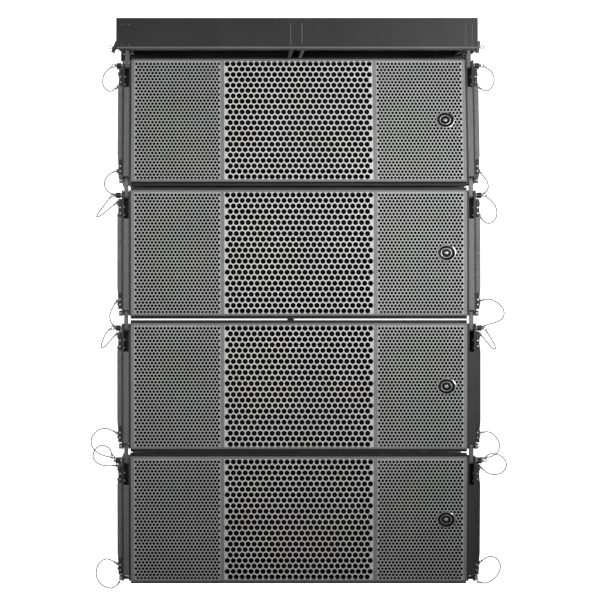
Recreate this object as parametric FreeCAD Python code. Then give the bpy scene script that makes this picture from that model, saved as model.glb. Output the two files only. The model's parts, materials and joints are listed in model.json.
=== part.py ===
"""A line array hang: a fly bar and four dual 8 inch elements, hung one below the other.

Millimetres. X runs across the hang, Y from the front (negative) to the rear, Z up. The origin is the
fly bar's sixth pickup hole from the front. An element's own shapes are made with its front top edge at
y = 0, z = 0, and are then turned and moved to its place in the hang. Left is -X and right is +X, seen
from the front.
"""
import os
from math import atan2, cos, degrees, hypot, pi, radians, sin, tan

import FreeCAD
import Part

V = FreeCAD.Vector
X_AXIS = V(1, 0, 0)
Y_AXIS = V(0, 1, 0)
Z_AXIS = V(0, 0, 1)
OUT = "parts"

# Driving dimensions of an element.
ELEMENTS = 4
HEIGHT = 250.0  # of the front face
GAP = 13.0  # between two front faces
PITCH = HEIGHT + GAP
HALF_WIDTH = 333.0  # of the cabinet
DEPTH = 430.0
WEDGE = tan(radians(4.0))  # the top and bottom each close by this, front to rear
WALL = 15.0
LIP = 5.2  # the strips that close the gap between two elements stand this proud
LIP_DEPTH = 6.0
FRONT_Y = -190.0  # the fly bar's front face
SPLAYS = (-9.0, 8.0, 1.0, 3.0)  # each element's angle to the one above it, as hung; + lifts its rear

# Fly bar.
BAR_TOP = 22.0
BAR_HEIGHT = 63.0
BAR_LEFT = -363.0
BAR_RIGHT = 358.7
BAR_PLATE = 4.0
BAR_REAR = 490.0
BRACE_Y = 202.0  # between two pickup holes
BRACE_HALF = 362.0
ARM_TOP = -12.0  # leaves the way to the pickup holes free
PICKUP_R = 9.0
PICKUP_STEP = 30.0
PICKUP_COUNT = 12
SPINE = (8.2, 14.2)  # each spine plate, from the middle

# Rigging, as distances from the middle of the hang.
INNER = (HALF_WIDTH, HALF_WIDTH + 3.5)
OUTER = (HALF_WIDTH + 13.5, HALF_WIDTH + 17.0)
LINK = (INNER[1] + 1.0, OUTER[0] - 1.0)
COVER_IN = OUTER[1]
COVER_OUT = OUTER[1] + 7.3
COVER_BULGE = 1.9
COVER_THICK = 3.5
FRAME_FRONT = 4.0
FRONT_FRAME_REAR = 92.0
EAR = (8.2, 12.2)  # the rear bracket's ears, from the middle
EAR_REAR = 45.0  # behind the cabinet
BLADE_ROOM = -100.0  # the base plate is slotted up to here for the next blade

# Pins and links.
PIN_R = 3.15
PIN_FIT = 0.08
PIN_Y = 16.0
TOP_PIN_Z = -10.5
BOTTOM_PIN_Z = 6.0 - HEIGHT
BAR_HINGE_Z = BAR_TOP - BAR_HEIGHT + 6.0
BAR_DROP = 8.8  # the first front links are this much longer than the others
LINK_R = 6.5
SPLAY = (0.0, 8.0)  # degrees between two elements
BAR_SPLAY = (-10.0, 4.0)  # degrees between the fly bar and the first element
BLADE_HALF = 7.0
BLADE_R = 12.0
REAR_BOLT_R = 4.0
REAR_BOLT = V(0, 440.0, 48.0)  # from a hinge to the rear bolt of the element above it
BAR_BOLT = V(0, 443.0, 20.0)  # the same on the fly bar
FOOT = (6.3, 9.5)  # degrees from the end of the slot to the two bolts of its foot
FOOT_BOLT_R = 3.0
EYE_R = 3.0
EYE_TOP = 363.5
EYE_SIDE = 360.5

# Drivers.
WOOFER_X = 216.0
WOOFER_R = 101.0
CONE_R = 88.0
MOUTH_HALF = 95.0
BAFFLE_Y = 30.0
BAFFLE = 18.0
HORN_Y = 140.0
PANEL_X = 170.0  # the middle of the input panel
PANEL_HALF = 70.0

# Lanyards: steel wire. A route lists its points as distance from the middle, y and z, in an element's
# own frame, from the element to the pin, the next element or the bolt that it holds.
WIRE = 2.0
TOP_ROUTES = {
    ("left", 1): [(361.5, 31, -50), (373, 27, -64), (389, 21, -54), (391, 17, -35), (382, 15, -19),
                  (369, 16, -10.5)],
    ("left", 2): [(361.5, 31, -24), (375, 36, -35), (390, 34, -48), (402, 25, -55), (398, 13, -47),
                  (387, 9, -33), (377, 12, -19), (369, 16, -10.5)],
    ("left", 3): [(361.5, 31, -22), (372, 36, -33), (382, 33, -46), (392, 24, -52), (391, 12, -44),
                  (386, 8, -29), (379, 12, -15), (369, 16, -10.5)],
    ("left", 4): [(361.5, 31, -22), (378, 26, -23), (396, 22, -19), (409, 18, -6), (405, 15, 13),
                  (388, 13, 23), (371, 14, 13), (369, 15, -2)],
    ("right", 1): [(361.5, 31, -50), (376, 26, -64), (391, 21, -51), (393, 17, -31), (382, 15, -16),
                   (369, 16, -10.5)],
    ("right", 2): [(361.5, 31, -50), (367, 29, -63), (382, 25, -67), (394, 21, -54), (393, 18, -35),
                   (382, 16, -20), (369, 16, -10.5)],
    ("right", 3): [(361.5, 31, -23), (373, 36, -36), (384, 32, -50), (391, 20, -54), (387, 9, -42),
                   (378, 10, -27), (369, 16, -13)],
    ("right", 4): [(361.5, 31, -24), (372, 30, -36), (389, 26, -41), (406, 22, -35), (414, 18, -19),
                   (405, 15, -2), (387, 13, 5), (371, 14, 2), (369, 15, -9)],
}
LOWER_ROUTES = {
    ("left", 1): [(361.5, 34, -221), (374, 33, -225), (385, 31, -238), (386, 30, -254),
                  (377, 34, -266), (365, 43, -268.5)],
    ("left", 2): [(361.5, 34, -220), (370, 33, -233), (376, 32, -249), (373, 34, -264),
                  (365, 40.5, -272)],
    ("left", 3): [(361.5, 34, -220), (376, 33, -210), (395, 31, -211), (410, 29, -224),
                  (413, 28, -243), (401, 29, -259), (383, 33, -266), (365, 41.5, -271)],
    ("left", 4): [(361.5, 34, -220), (375, 33, -209), (391, 31, -211), (402, 29, -226),
                  (403, 27, -245), (392, 25, -261), (375, 22, -268), (360, 18, -261),
                  (355, 16.5, -251)],
    ("right", 1): [(361.5, 34, -222), (372, 33, -235), (379, 32, -250), (376, 35, -263),
                   (365, 43, -268.5)],
    ("right", 2): [(361.5, 34, -220), (377, 33, -214), (395, 31, -222), (409, 29, -236),
                   (408, 28, -254), (392, 30, -263), (377, 34, -266), (365, 40.5, -272)],
    ("right", 3): [(361.5, 34, -220), (376, 33, -215), (391, 31, -224), (400, 29, -239),
                   (398, 28, -256), (386, 30, -266), (374, 36, -269), (365, 41.5, -271)],
    ("right", 4): [(361.5, 34, -218), (374, 33, -206), (391, 31, -204), (404, 29, -218),
                   (401, 27, -237), (387, 24, -251), (370, 20, -258), (356, 16.5, -252)],
}


def box(x0, x1, y0, y1, z0, z1):
    """A block between two corners."""
    return Part.makeBox(x1 - x0, y1 - y0, z1 - z0, V(x0, y0, z0))


def side_plate(outline, x0, x1):
    """A plate of thickness x0 to x1 with an outline of (y, z) points."""
    points = [V(x0, y, z) for y, z in outline]
    face = Part.Face(Part.makePolygon(points + points[:1]))
    return face.extrude(V(x1 - x0, 0, 0))


def front_plate(outline, y0, y1):
    """A plate of thickness y0 to y1 with an outline of (x, z) points."""
    points = [V(x, y0, z) for x, z in outline]
    face = Part.Face(Part.makePolygon(points + points[:1]))
    return face.extrude(V(0, y1 - y0, 0))


def rod(radius, start, length, axis=X_AXIS):
    """A cylinder."""
    return Part.makeCylinder(radius, length, start, axis)


def ring(outer, inner, start, length, axis=Y_AXIS):
    """A tube."""
    return rod(outer, start, length, axis).cut(rod(inner, start - axis, length + 2, axis))


def turned(profile, centre):
    """A solid of revolution about Y from closed (radius, y) points."""
    points = [centre + V(r, y, 0) for r, y in profile]
    face = Part.Face(Part.makePolygon(points + points[:1]))
    return face.revolve(centre, Y_AXIS, 360)


def mirrored(shape):
    """The same shape on the other side of the hang."""
    return shape.mirror(V(0, 0, 0), X_AXIS)


def fused(shapes):
    """One solid from several that touch."""
    return shapes[0].multiFuse(shapes[1:]).removeSplitter()


def on_side(shape, side):
    """A shape made on the right, on the side that it belongs to."""
    return mirrored(shape) if side == "left" else shape


def both_sides(shape):
    """The shape on the right and its mirror image on the left."""
    return [shape, mirrored(shape)]


def top_z(y, drop=0.5):
    """The cabinet's top surface at y."""
    return -drop - max(0.0, y - 14.0) * WEDGE


def bottom_z(y, rise=0.5):
    """The cabinet's bottom surface at y."""
    return -HEIGHT - top_z(y, rise)


def wedge(y0, y1, inset):
    """The outline of the cabinet's side between y0 and y1, a distance inside its faces."""
    return [(y0, top_z(y0) - inset), (y1, top_z(y1) - inset), (y1, bottom_z(y1) + inset),
            (y0, bottom_z(y0) + inset)]


def cabinet():
    """The wooden case with its baffle."""
    shell = side_plate(wedge(14.0, DEPTH, 0.0), -HALF_WIDTH, HALF_WIDTH)
    for z in (-0.5, -HEIGHT - LIP):
        strip = box(-HALF_WIDTH, HALF_WIDTH, 14.0, 14.0 + LIP_DEPTH, z, z + LIP + 0.5)
        shell = shell.fuse(strip)
    inside = HALF_WIDTH - WALL
    room = side_plate(wedge(BAFFLE_Y + BAFFLE, DEPTH - WALL, WALL), -inside, inside)
    recess = side_plate(wedge(13.0, BAFFLE_Y, WALL), -inside, inside)
    shell = shell.cut(room).cut(recess)
    for x in (-WOOFER_X, WOOFER_X):
        shell = shell.cut(rod(93.0, V(x, BAFFLE_Y - 1, -HEIGHT / 2), BAFFLE + 2, Y_AXIS))
    mouth = box(-MOUTH_HALF, MOUTH_HALF, BAFFLE_Y - 1, BAFFLE_Y + BAFFLE + 1, -227.0, -23.0)
    x, half = PANEL_X, PANEL_HALF - 12
    socket = box(x - half, x + half, DEPTH - WALL - 1, DEPTH + 1, -HEIGHT / 2 - 34, -HEIGHT / 2 + 34)
    return [shell.cut(mouth).cut(socket).removeSplitter()]


def grille():
    """A folded steel tray; its perforation is left to the visual model."""
    half = HALF_WIDTH - 0.5
    tray = box(-half, half, 0, 13.5, -HEIGHT, 0)
    tray = tray.makeFillet(5.0, [e for e in tray.Edges if is_front_edge(e, 0.0)])
    inside = box(-half + 1.5, half - 1.5, 1.5, 14.5, 1.5 - HEIGHT, -1.5)
    inside = inside.makeFillet(3.5, [e for e in inside.Edges if is_front_edge(e, 1.5)])
    foam = box(-half + 5, half - 5, 2.0, 8.0, 8.0 - HEIGHT, -8.0)
    return [tray.cut(inside), foam]


def is_front_edge(edge, y):
    """True for a long edge that runs across the front at y."""
    return edge.Length > HALF_WIDTH and all(abs(v.Point.y - y) < 0.01 for v in edge.Vertexes)


def badge():
    """A plain oval emblem on the grille, with a raised rim and a bar across it."""
    centre = V(291.0, 0, -HEIGHT / 2)
    turn = FreeCAD.Rotation(X_AXIS, 90)
    oval = Part.Ellipse(V(0, 0, 0), 18.5, 16.0).toShape()
    inner = Part.Ellipse(V(0, 0, 0), 16.5, 14.0).toShape()
    plate = Part.Face(Part.Wire(oval)).extrude(V(0, 0, 2.4))
    hollow = Part.Face(Part.Wire(inner)).extrude(V(0, 0, 1.0))
    hollow.translate(V(0, 0, 1.6))
    plate = plate.cut(hollow)
    plate.Placement = FreeCAD.Placement(centre, turn)
    return [plate]


def woofer_frame(x):
    """A pressed basket with its flange and magnet."""
    centre = V(x, BAFFLE_Y, -HEIGHT / 2)
    flange = ring(WOOFER_R, CONE_R + 0.6, centre - V(0, 8, 0), 8)
    basket = turned([(92.5, -2), (92.5, 4), (60, 62), (56, 62), (88.6, 4), (88.6, -2)], centre)
    for turn in range(4):
        window = box(x + 20, x + 92, BAFFLE_Y + 8, BAFFLE_Y + 54, -HEIGHT / 2 - 22, -HEIGHT / 2 + 22)
        window.rotate(centre, Y_AXIS, 45 + 90 * turn)
        basket = basket.cut(window)
    back = ring(60, 30, centre + V(0, 60, 0), 8)
    magnet = rod(62, centre + V(0, 68, 0), 38, Y_AXIS)
    gap = ring(27.5, 22.5, centre + V(0, 60, 0), 34)
    return fused([flange, basket, back, magnet]).cut(gap)


def woofer_frames():
    """Both woofers' fixed pieces."""
    return [woofer_frame(x) for x in (-WOOFER_X, WOOFER_X)]


def woofer_cone(x):
    """Cone, half-roll surround, dust cap and voice coil, which move as one."""
    centre = V(x, BAFFLE_Y, -HEIGHT / 2)
    edge = CONE_R
    profile = [(edge, -4), (edge - 3, -4), (edge - 7, -10), (edge - 11, -10), (edge - 15, -4),
               (edge - 19, -2), (28, 38), (0, 34), (0, 36), (24, 40), (24, 76), (26, 76), (26, 40.5),
               (edge - 18, 0), (edge - 14, -2), (edge - 10, -8), (edge - 8, -8), (edge - 4, -2), (edge, -2)]
    return turned(profile, centre)


def woofer_cones():
    """Both woofers' moving pieces."""
    return [woofer_cone(x) for x in (-WOOFER_X, WOOFER_X)]


def horn():
    """The high frequency waveguide: a mouth on the baffle that narrows to a tall throat slot."""
    half = HEIGHT / 2
    mouth = [(-MOUTH_HALF + 6, 24.0), (MOUTH_HALF - 6, 24.0)]
    throat = [(-14.0, HORN_Y), (14.0, HORN_Y)]
    outside = [(mouth[0][0] - 4, 24.0), (mouth[1][0] + 4, 24.0), (18.0, HORN_Y), (-18.0, HORN_Y)]
    inside = [(mouth[0][0], 23.0), (mouth[1][0], 23.0), (14.0, HORN_Y + 1), (-14.0, HORN_Y + 1)]
    body = prism_z(outside, -half - 90, -half + 90).cut(prism_z(inside, -half - 86, -half + 86))
    flange = box(-MOUTH_HALF - 12, MOUTH_HALF + 12, 26.0, BAFFLE_Y, -half - 106, -half + 106)
    flange = flange.cut(prism_z(outside, -half - 90, -half + 90))
    flange = flange.cut(prism_z([mouth[0], mouth[1], *reversed(throat)], -half - 86, -half + 86))
    return fused([flange, body])


def prism_z(outline, z0, z1):
    """A block of (x, y) outline between two heights."""
    points = [V(x, y, z0) for x, y in outline]
    face = Part.Face(Part.makePolygon(points + points[:1]))
    return face.extrude(V(0, 0, z1 - z0))


def hf_unit():
    """The waveguide with its manifold and two compression drivers."""
    half = HEIGHT / 2
    manifold = box(-34, 34, HORN_Y, HORN_Y + 34, -half - 88, -half + 88)
    slot = box(-14, 14, HORN_Y - 1, HORN_Y + 20, -half - 84, -half + 84)
    solids = [horn(), manifold.cut(slot)]
    for z in (-half - 44, -half + 44):
        case = rod(42, V(0, HORN_Y + 34, z), 42, Y_AXIS)
        cap = rod(30, V(0, HORN_Y + 76, z), 8, Y_AXIS)
        solids.append(fused([case, cap]))
    return solids


def input_panel():
    """A steel plate in the rear with two round four-pole sockets."""
    middle = -HEIGHT / 2
    plate = box(PANEL_X - PANEL_HALF, PANEL_X + PANEL_HALF, DEPTH, DEPTH + 2, middle - 46, middle + 46)
    solids = []
    for x in (PANEL_X - 28, PANEL_X + 28):
        plate = plate.cut(rod(12.2, V(x, DEPTH - 1, middle), 4, Y_AXIS))
        body = rod(12.0, V(x, DEPTH - 30, middle), 33, Y_AXIS)
        lip = rod(16.0, V(x, DEPTH + 2, middle), 3, Y_AXIS)
        well = rod(10.0, V(x, DEPTH - 16, middle), 22, Y_AXIS)
        solids.append(fused([body, lip]).cut(well))
    return [plate] + solids


def pin_hole(y, z, radius):
    """A hole through the rigging on the right, along X."""
    return rod(radius, V(INNER[0] - 1, y, z), OUTER[1] - INNER[0] + 2)


def front_frame():
    """The steel channel at the front of a side, open at both ends for the links."""
    y1 = FRONT_FRAME_REAR
    outline = [(FRAME_FRONT + 3, -1), (y1, top_z(y1)), (y1, bottom_z(y1)), (FRAME_FRONT + 3, 1 - HEIGHT),
               (FRAME_FRONT, 4 - HEIGHT), (FRAME_FRONT, -4)]
    inner = side_plate(outline, *INNER)
    outer = side_plate(outline, *OUTER)
    web = box(INNER[1], OUTER[0], FRAME_FRONT, FRAME_FRONT + 3.5, 12 - HEIGHT, -57)
    rear = box(INNER[1], OUTER[0], 78, 82, 8 - HEIGHT, -8)
    pocket = box(INNER[1], OUTER[0], 28, 31, -62, -3)
    frame = fused([inner, outer, web, rear, pocket])
    for z in (TOP_PIN_Z, BOTTOM_PIN_Z):
        frame = frame.cut(pin_hole(PIN_Y, z, PIN_R + PIN_FIT))
    return frame


def rear_bracket():
    """The bracket in the middle of the rear: a base plate with two ears for the splay links."""
    y1 = DEPTH + EAR_REAR
    top, low = top_z(DEPTH) - 4, bottom_z(DEPTH) + 4
    base = box(-46, 46, DEPTH, DEPTH + 4, low, top)
    corner = 14.0
    outline = [(DEPTH + 3, top), (y1 - corner, top), (y1, top - corner), (y1, low + corner),
               (y1 - corner, low), (DEPTH + 3, low)]
    base = base.cut(box(-EAR[0], EAR[0], DEPTH - 1, DEPTH + 5, low - 1, BLADE_ROOM))
    bracket = fused([base] + both_sides(side_plate(outline, *EAR)))
    places = [V(0, PIN_Y, BOTTOM_PIN_Z) + REAR_BOLT] + foot_places()
    for place, radius in zip(places, (REAR_BOLT_R, FOOT_BOLT_R, FOOT_BOLT_R)):
        bracket = bracket.cut(rod(radius + PIN_FIT, V(-60, place.y, place.z), 120))
    return bracket


def hinge(number):
    """The hinge above an element, in the element's own frame: the front pins of what it hangs from."""
    drop = BAR_DROP if number == 1 else 0.0
    return V(0, PIN_Y, BOTTOM_PIN_Z + PITCH + drop)


def foot_places():
    """Where the two bolts through a splay link's foot lie, in the frame of its element."""
    radius = hypot(REAR_BOLT.y, REAR_BOLT.z)
    low = degrees(atan2(REAR_BOLT.z, REAR_BOLT.y)) - SPLAY[1]
    return [polar(hinge(2), radius, low - angle) for angle in FOOT]


def pivot_bolt(y, z, radius):
    """A shoulder bolt through both plates, with a chrome head outside."""
    shank = rod(radius, V(INNER[0] + 0.3, y, z), OUTER[1] - INNER[0] - 0.3)
    head = rod(radius + 2.4, V(OUTER[1], y, z), 6.0)
    edge = [e for e in head.Edges if abs(e.BoundBox.XMin - OUTER[1] - 6.0) < 0.01]
    return fused([shank, head.makeChamfer(0.8, edge[:1])])


def cross_bolt(place, radius, half, head):
    """A bolt through the middle of the rear, with a head and a nut."""
    shank = rod(radius, V(-half - head, place.y, place.z), 2 * (half + head))
    heads = [rod(radius * 1.7, V(x, place.y, place.z), head) for x in (-half - head, half)]
    return fused([shank] + heads)


def rigging():
    """The front frames of both sides, the rear bracket, and the bolts that they hold."""
    solids = both_sides(front_frame()) + both_sides(pivot_bolt(PIN_Y, BOTTOM_PIN_Z, PIN_R))
    solids.append(rear_bracket())
    solids.append(cross_bolt(V(0, PIN_Y, BOTTOM_PIN_Z) + REAR_BOLT, REAR_BOLT_R, EAR[1], 5.0))
    solids += [cross_bolt(place, FOOT_BOLT_R, EAR[1], 4.0) for place in foot_places()]
    return solids


def cover():
    """The pressed side cover, closed at the front, which stands proud over the front frame."""
    low, high = 13.5 - HEIGHT, -17.5
    out = COVER_OUT
    far = COVER_OUT + COVER_BULGE
    outer = [(COVER_IN, high), (out, high), (out, -42), (far, -57), (far, -193), (out, -217),
             (out, low), (COVER_IN, low)]
    inner = [(COVER_IN - 1, high - 3), (out - COVER_THICK, high - 3), (out - COVER_THICK, -43),
             (far - COVER_THICK, -58), (far - COVER_THICK, -192), (out - COVER_THICK, -216),
             (out - COVER_THICK, low + 3), (COVER_IN - 1, low + 3)]
    return front_plate(outer, 8, 74).cut(front_plate(inner, 8 + COVER_THICK, 75))


def eye_bolt(y, z, base, top):
    """A round-headed stud that a lanyard is fixed to."""
    return rod(EYE_R, V(base, y, z), top - base)


def covers():
    """Both side covers with the studs on them."""
    studs = [eye_bolt(31, -50, COVER_OUT + COVER_BULGE / 2, EYE_SIDE), eye_bolt(31, -23, COVER_OUT, EYE_SIDE),
             eye_bolt(34, -220, COVER_OUT, EYE_SIDE), eye_bolt(40, -9.5, COVER_IN, EYE_TOP)]
    for z in (-34, -50):
        studs.append(rod(2.6, V(OUTER[0] - 2.2, 14, z), 2.2))
    return [s for shape in [cover()] + studs for s in both_sides(shape)]


def front_link(number):
    """A bar with round ends between the two front pins."""
    x0, x1 = LINK
    top = hinge(number)
    bar = box(x0, x1, PIN_Y - LINK_R, PIN_Y + LINK_R, TOP_PIN_Z, top.z)
    ends = [rod(LINK_R, V(x0, PIN_Y, z), x1 - x0) for z in (TOP_PIN_Z, top.z)]
    link = fused([bar] + ends)
    for z in (TOP_PIN_Z, top.z):
        link = link.cut(rod(PIN_R + PIN_FIT, V(x0 - 1, PIN_Y, z), x1 - x0 + 2))
    return link


def polar(centre, radius, angle):
    """The point at an angle about a line along X; the angle runs from +Y towards +Z."""
    return centre + V(0, radius * cos(radians(angle)), radius * sin(radians(angle)))


def arc_band(centre, radius, half, low, high, x0, x1):
    """A curved bar with round ends that follows an arc about the hinge."""
    middle = (low + high) / 2

    def arc(r, first, last):
        points = [polar(centre, r, a) for a in (first, middle, last)]
        return Part.Arc(*[V(x0, p.y, p.z) for p in points]).toShape()

    def cap(angle, way):
        turn = pi / 2
        tip = polar(polar(centre, radius, angle), half, angle + way * degrees(turn))
        ends = [polar(centre, radius + half, angle), tip, polar(centre, radius - half, angle)]
        return Part.Arc(*[V(x0, p.y, p.z) for p in ends]).toShape()

    edges = [arc(radius + half, low, high), cap(high, 1), arc(radius - half, high, low), cap(low, -1)]
    face = Part.Face(Part.Wire(Part.__sortEdges__(edges)))
    return face.extrude(V(x1 - x0, 0, 0))


def splay_link(number, bolt, splay):
    """The blade between two ears, with a curved slot about the hinge for the bolt above."""
    centre = hinge(number)
    radius = hypot(bolt.y, bolt.z)
    rest = degrees(atan2(bolt.z, bolt.y))
    end = foot_places()[1] - centre
    foot = degrees(atan2(end.z, end.y))
    half = BLADE_HALF
    high = rest - splay[0]
    band = arc_band(centre, radius, BLADE_R, foot, high, -half, half)
    slot = arc_band(centre, radius, REAR_BOLT_R + 0.12, rest - splay[1], high, -half - 1, half + 1)
    blade = band.cut(slot)
    for place in foot_places():
        blade = blade.cut(rod(FOOT_BOLT_R + PIN_FIT, V(-half - 1, place.y, place.z), 2 * half + 2))
    return blade


def links(number):
    """The front links of both sides and the splay link, which belong to the element below."""
    bolt, splay = (BAR_BOLT, BAR_SPLAY) if number == 1 else (REAR_BOLT, SPLAY)
    return both_sides(front_link(number)) + [splay_link(number, bolt, splay)]


def release_pin():
    """A quick-release pin: shank, collar, round head and the tab that its lanyard holds."""
    z = TOP_PIN_Z
    shank = rod(PIN_R, V(INNER[0] + 0.3, PIN_Y, z), OUTER[1] - INNER[0] + 0.7)
    collar = rod(4.6, V(OUTER[1] + 0.2, PIN_Y, z), 3.0)
    head = rod(5.6, V(OUTER[1] + 3.2, PIN_Y, z), 8.8)
    tab = rod(3.2, V(OUTER[1] + 14.0, PIN_Y - 1, z), 2.0, Y_AXIS)
    tab = fused([tab, box(OUTER[1] + 11, OUTER[1] + 14, PIN_Y - 1, PIN_Y + 1, z - 3.2, z + 3.2)])
    return fused([shank, collar, head, tab])


def bar_pin(reach, lean):
    """A fly bar pin: a black T handle that leans a little, with a wire ring through it."""
    y, z = PIN_Y, BAR_HINGE_Z
    shank = rod(PIN_R, V(INNER[0] + 0.3, y, z), OUTER[1] - INNER[0] + 0.7)
    stem = rod(4.6, V(OUTER[1] + 0.2, y, z), reach)
    handle_x = OUTER[1] + 0.2 + reach
    handle = rod(3.8, V(handle_x, y, z - 12), 24, Z_AXIS)
    handle.rotate(V(handle_x, y, z), Y_AXIS, lean)
    pin = fused([shank, stem, handle])
    loop = Part.makeTorus(3.4, 0.7, V(handle_x + 8.2, y, z), Y_AXIS)
    return [pin, loop]


def spine():
    """The two plates that carry the row of pickup holes and the first splay link."""
    x0, x1 = SPINE
    low = BAR_TOP - BAR_HEIGHT
    high = BAR_TOP - 4
    plate = side_plate([(-0.4, low + 7), (-0.4, high - 8), (BAR_PLATE, high - 8), (BAR_PLATE, high),
                        (BAR_REAR - 12, high), (BAR_REAR, high - 12), (BAR_REAR, low + 14),
                        (BAR_REAR - 12, low), (BAR_PLATE, low), (BAR_PLATE, low + 7)], x0, x1)
    for n in range(PICKUP_COUNT):
        y = -FRONT_Y + (n + 1 - PICKUP_COUNT // 2) * PICKUP_STEP
        plate = plate.cut(rod(PICKUP_R, V(x0 - 1, y, 0), x1 - x0 + 2))
    place = V(0, PIN_Y, BAR_HINGE_Z) + BAR_BOLT
    return plate.cut(rod(REAR_BOLT_R + PIN_FIT, V(x0 - 1, place.y, place.z), x1 - x0 + 2))


def arm(x0, x1):
    """A side arm of the fly bar, with a tongue at the front for the link."""
    low = BAR_TOP - BAR_HEIGHT
    tongue = low - 7
    outline = [(BAR_PLATE, BAR_TOP - 8), (60, BAR_TOP - 8), (140, ARM_TOP), (BRACE_Y + 6, ARM_TOP),
               (BRACE_Y + 6, low + 8), (60, low), (40, tongue), (FRAME_FRONT + 4, tongue),
               (BAR_PLATE, tongue + 4)]
    plate = side_plate(outline, x0, x1)
    return plate.cut(rod(PIN_R + PIN_FIT, V(x0 - 1, PIN_Y, BAR_HINGE_Z), x1 - x0 + 2))


def fly_frame():
    """The welded fly bar: front channel, two spine plates, side arms and a cross brace."""
    low = BAR_TOP - BAR_HEIGHT
    front = box(BAR_LEFT, BAR_RIGHT, 0, BAR_PLATE, low, BAR_TOP - 2)
    flange = box(BAR_LEFT, BAR_RIGHT, 0.8, 36, BAR_TOP - BAR_PLATE, BAR_TOP)
    lip = box(-INNER[0], INNER[0], BAR_PLATE, 18, low, low + BAR_PLATE)
    brace = box(-BRACE_HALF, BRACE_HALF, BRACE_Y, BRACE_Y + 6, low - 5, BAR_TOP - 22)
    web = box(INNER[1], OUTER[0], 56, 60, low - 8, BAR_TOP - 14)
    gusset = [(OUTER[1], low), (BAR_RIGHT, low), (OUTER[1], low - 7)]
    pieces = [front, flange, lip, brace]
    for shape in (spine(), arm(*INNER), arm(*OUTER), web, front_plate(gusset, BAR_PLATE, 10),
                  box(OUTER[1], BAR_RIGHT, BAR_PLATE, 10, low, low + 20)):
        pieces += both_sides(shape)
    return fused(pieces)


def in_bar(shape):
    """A fly bar shape, at its place in the hang."""
    copy = shape.copy()
    copy.translate(V(0, FRONT_Y, 0))
    return copy


def turn_at(before, point, after):
    """Half the turn of a route at a point, in radians."""
    return (point - before).getAngle(after - point) / 2


def tube(name, points, diameter):
    """A round wire along a route: straight runs joined by tangent arcs."""
    edges = []
    start = points[0]
    length = 0.0
    least = 1e9
    for before, point, after in zip(points, points[1:], points[2:]):
        run = 0.45 * min((point - before).Length, (after - point).Length)
        half = turn_at(before, point, after)
        least = min(least, run / tan(half))
        enter = point + (before - point).normalize() * run
        leave = point + (after - point).normalize() * run
        inward = ((enter + leave) * 0.5 - point).normalize()
        radius = run / tan(half)
        middle = point + inward * (radius / cos(half) - radius)
        edges += [Part.LineSegment(start, enter).toShape(), Part.Arc(enter, middle, leave).toShape()]
        length += (enter - start).Length + radius * 2 * half
        start = leave
    edges.append(Part.LineSegment(start, points[-1]).toShape())
    length += (points[-1] - start).Length
    path = Part.Wire(edges)
    section = Part.Wire(Part.makeCircle(diameter / 2, points[0], points[1] - points[0]))
    solid = path.makePipeShell([section], True, True)
    share = solid.Volume / (length * pi * diameter ** 2 / 4)
    print(f"{name}: {length:.1f} mm long, least radius {least:.1f} mm, volume share {share:.3f}")
    return solid


def lanyards(side, number):
    """The two wire lanyards of one side of an element."""
    solids = []
    for label, routes in (("top", TOP_ROUTES), ("lower", LOWER_ROUTES)):
        sign = -1 if side == "left" else 1
        points = [V(sign * u, y, z) for u, y, z in routes[(side, number)]]
        solids.append(tube(f"{label} lanyard {side} {number}", points, WIRE))
    return solids


def angle_of(number):
    """An element's angle from upright in the hang, in degrees."""
    return sum(SPLAYS[:number])


def hinge_of(number):
    """The place of the hinge above an element in the hang."""
    place = V(0, FRONT_Y + PIN_Y, BAR_HINGE_Z)
    for above in range(1, number):
        place = polar(place, hinge(above).z - BOTTOM_PIN_Z, angle_of(above) - 90.0)
    return place


def in_hang(shape, number):
    """A copy of an element's shape, at its place in the hang."""
    copy = shape.copy()
    copy.translate(hinge_of(number) - hinge(number))
    copy.rotate(hinge_of(number), X_AXIS, angle_of(number))
    return copy


def save(name, solids):
    """Writes one node."""
    shape = solids[0] if len(solids) == 1 else Part.makeCompound(solids)
    if not shape.isValid():
        print("not valid:", name)
    shape.exportStep(os.path.join(OUT, f"{name}.step"))


def main():
    """Writes every node of the hang."""
    os.makedirs(OUT, exist_ok=True)
    save("fly_frame", [in_bar(fly_frame())])
    bolt = cross_bolt(V(0, PIN_Y, BAR_HINGE_Z) + BAR_BOLT, REAR_BOLT_R, SPINE[1], 6.0)
    save("fly_rear_bolt", [in_bar(bolt)])
    for side, reach, lean in (("left", 16.0, -22), ("right", 10.5, 8)):
        save(f"fly_pin_{side}", [in_bar(on_side(s, side)) for s in bar_pin(reach, lean)])
    same = {"cabinet": cabinet(), "grille": grille(), "badge": badge(), "woofer_frames": woofer_frames(),
            "woofer_cones": woofer_cones(), "hf_unit": hf_unit(), "input_panel": input_panel(),
            "rigging": rigging(), "covers": covers()}
    for number in range(1, ELEMENTS + 1):
        nodes = dict(same, links=links(number))
        for side in ("left", "right"):
            nodes[f"pin_{side}"] = [on_side(release_pin(), side)]
            nodes[f"lanyards_{side}"] = lanyards(side, number)
        for name, solids in nodes.items():
            save(f"{name}_{number}", [in_hang(s, number) for s in solids])
        place = hinge_of(number)
        print(f"hinge {number}: y {place.y:.3f} z {place.z:.3f} angle {angle_of(number):.1f}")


main()
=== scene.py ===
"""The looks of a line array hang: perforated grilles, coatings, fittings and wire lanyards."""

import json
import math

import bmesh
import bpy
from mathutils import Matrix, Vector


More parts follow.
